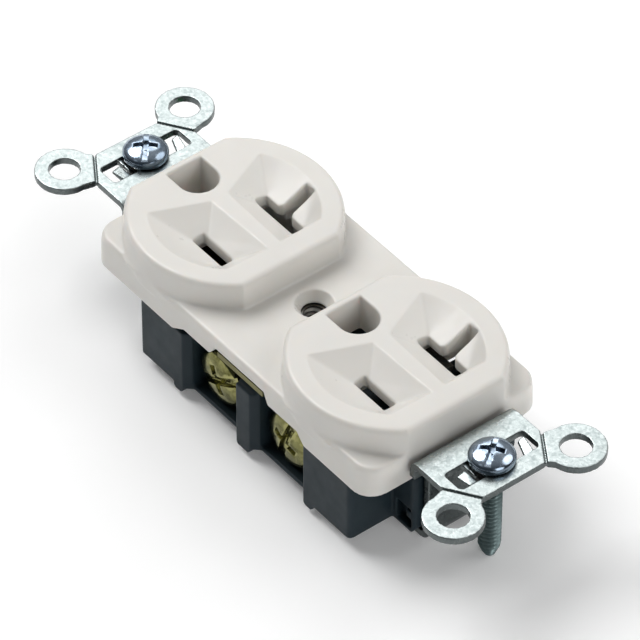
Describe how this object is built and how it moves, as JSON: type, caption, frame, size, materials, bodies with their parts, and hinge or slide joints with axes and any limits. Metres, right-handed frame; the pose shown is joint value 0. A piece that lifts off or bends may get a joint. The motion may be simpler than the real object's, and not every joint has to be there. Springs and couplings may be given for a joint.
{
  "type": "duplex wall outlet",
  "caption": "Duplex wall outlet with T-slot faces on a steel wrap-around strap with break-off washer ears, side terminal screws and captive mounting screws.",
  "frame": {"origin": "bottom centre of the bounding box: on the plate-screw axis, midway between the two faces and level with the rivet heads; the front plane of the strap's ears is 19.25 mm above it", "axes": "+X along the strap, from each face's ground hole towards its blade slots; -Y towards the hot terminals; +Z out of the faces"},
  "size_m": [0.1032, 0.0334, 0.0243],
  "materials": {
    "cover_nylon": "moulded nylon, warm off-white, soft satin",
    "base_plastic": "moulded thermoplastic, dark blue-grey, fine grain",
    "galvanised_steel": "galvanised sheet with soft mottled spangle",
    "zinc_screw": "bright zinc plate with a blue tint",
    "brass_sheet": "rolled brass sheet",
    "brass_screw": "machined brass-coloured screw",
    "plated_brass": "tin-plated brass sheet",
    "silver_screw": "nickel-plated screw",
    "green_screw": "green-dyed zinc plate",
    "fibre_washer": "dark vulcanised fibre"
  },
  "bodies": {
    "housing": {"cover": "cover_nylon", "base": "base_plastic", "mounting_strap": "galvanised_steel", "hot_bus": "brass_sheet", "neutral_bus": "plated_brass", "ground_strip": "brass_sheet", "plate_screw_bush": "plated_brass", "ground_rivet_1": "brass_sheet", "ground_rivet_2": "brass_sheet", "case_screw_1": "zinc_screw", "case_screw_2": "zinc_screw", "case_screw_3": "zinc_screw", "case_screw_4": "zinc_screw"},
    "hot_clamp_1": {"hot_clamp_1": "brass_sheet"},
    "hot_clamp_2": {"hot_clamp_2": "brass_sheet"},
    "hot_screw_1": {"hot_screw_1": "brass_screw"},
    "hot_screw_2": {"hot_screw_2": "brass_screw"},
    "neutral_clamp_1": {"neutral_clamp_1": "plated_brass"},
    "neutral_clamp_2": {"neutral_clamp_2": "plated_brass"},
    "neutral_screw_1": {"neutral_screw_1": "silver_screw"},
    "neutral_screw_2": {"neutral_screw_2": "silver_screw"},
    "ground_clamp": {"ground_clamp": "galvanised_steel"},
    "ground_screw": {"ground_screw": "green_screw"},
    "screw_retainer_near": {"screw_retainer_near": "fibre_washer"},
    "screw_retainer_far": {"screw_retainer_far": "fibre_washer"},
    "mounting_screw_near": {"mounting_screw_near": "zinc_screw"},
    "mounting_screw_far": {"mounting_screw_far": "zinc_screw"}
  },
  "joints": [
    {"name": "hot_1_clamp_slide", "type": "slide", "parent": "housing", "child": "hot_clamp_1", "axis": [0, -1, 0], "range_m": [-0.00159, 0.00079]},
    {"name": "hot_1_screw_turn", "type": "hinge", "parent": "hot_clamp_1", "child": "hot_screw_1", "pos_m": [-0.0054, -0.0125, 0.0078], "axis": [0, -1, 0], "range_deg": [-725, 365]},
    {"name": "hot_2_clamp_slide", "type": "slide", "parent": "housing", "child": "hot_clamp_2", "axis": [0, -1, 0], "range_m": [-0.00159, 0.00079]},
    {"name": "hot_2_screw_turn", "type": "hinge", "parent": "hot_clamp_2", "child": "hot_screw_2", "pos_m": [0.0112, -0.0125, 0.0078], "axis": [0, -1, 0], "range_deg": [-725, 365]},
    {"name": "neutral_1_clamp_slide", "type": "slide", "parent": "housing", "child": "neutral_clamp_1", "axis": [0, 1, 0], "range_m": [-0.00159, 0.00079]},
    {"name": "neutral_1_screw_turn", "type": "hinge", "parent": "neutral_clamp_1", "child": "neutral_screw_1", "pos_m": [-0.0054, 0.0125, 0.0078], "axis": [0, 1, 0], "range_deg": [-725, 365]},
    {"name": "neutral_2_clamp_slide", "type": "slide", "parent": "housing", "child": "neutral_clamp_2", "axis": [0, 1, 0], "range_m": [-0.00159, 0.00079]},
    {"name": "neutral_2_screw_turn", "type": "hinge", "parent": "neutral_clamp_2", "child": "neutral_screw_2", "pos_m": [0.0112, 0.0125, 0.0078], "axis": [0, 1, 0], "range_deg": [-725, 365]},
    {"name": "ground_clamp_slide", "type": "slide", "parent": "housing", "child": "ground_clamp", "axis": [-1, 0, 0], "range_m": [-0.00159, 0.00079]},
    {"name": "ground_screw_turn", "type": "hinge", "parent": "ground_clamp", "child": "ground_screw", "pos_m": [-0.0388, 0.0112, 0.00835], "axis": [-1, 0, 0], "range_deg": [-725, 365]},
    {"name": "mounting_near_turn", "type": "hinge", "parent": "housing", "child": "screw_retainer_near", "pos_m": [0.04167, 0, 0.01725], "axis": [0, 0, 1], "range_deg": [-5, 4325]},
    {"name": "mounting_near_travel", "type": "slide", "parent": "screw_retainer_near", "child": "mounting_screw_near", "axis": [0, 0, 1], "range_m": [0, 0.00953]},
    {"name": "mounting_far_turn", "type": "hinge", "parent": "housing", "child": "screw_retainer_far", "pos_m": [-0.04167, 0, 0.01725], "axis": [0, 0, 1], "range_deg": [-5, 4325]},
    {"name": "mounting_far_travel", "type": "slide", "parent": "screw_retainer_far", "child": "mounting_screw_far", "axis": [0, 0, 1], "range_m": [0, 0.00953]}
  ],
  "couplings": [
    {"joint": "hot_1_screw_turn", "follows": "hot_1_clamp_slide", "rad_per_m": 7915.8},
    {"joint": "hot_2_screw_turn", "follows": "hot_2_clamp_slide", "rad_per_m": 7915.8},
    {"joint": "neutral_1_screw_turn", "follows": "neutral_1_clamp_slide", "rad_per_m": 7915.8},
    {"joint": "neutral_2_screw_turn", "follows": "neutral_2_clamp_slide", "rad_per_m": 7915.8},
    {"joint": "ground_screw_turn", "follows": "ground_clamp_slide", "rad_per_m": 7915.8},
    {"joint": "mounting_near_turn", "follows": "mounting_near_travel", "rad_per_m": 7915.8},
    {"joint": "mounting_far_turn", "follows": "mounting_far_travel", "rad_per_m": 7915.8}
  ]
}
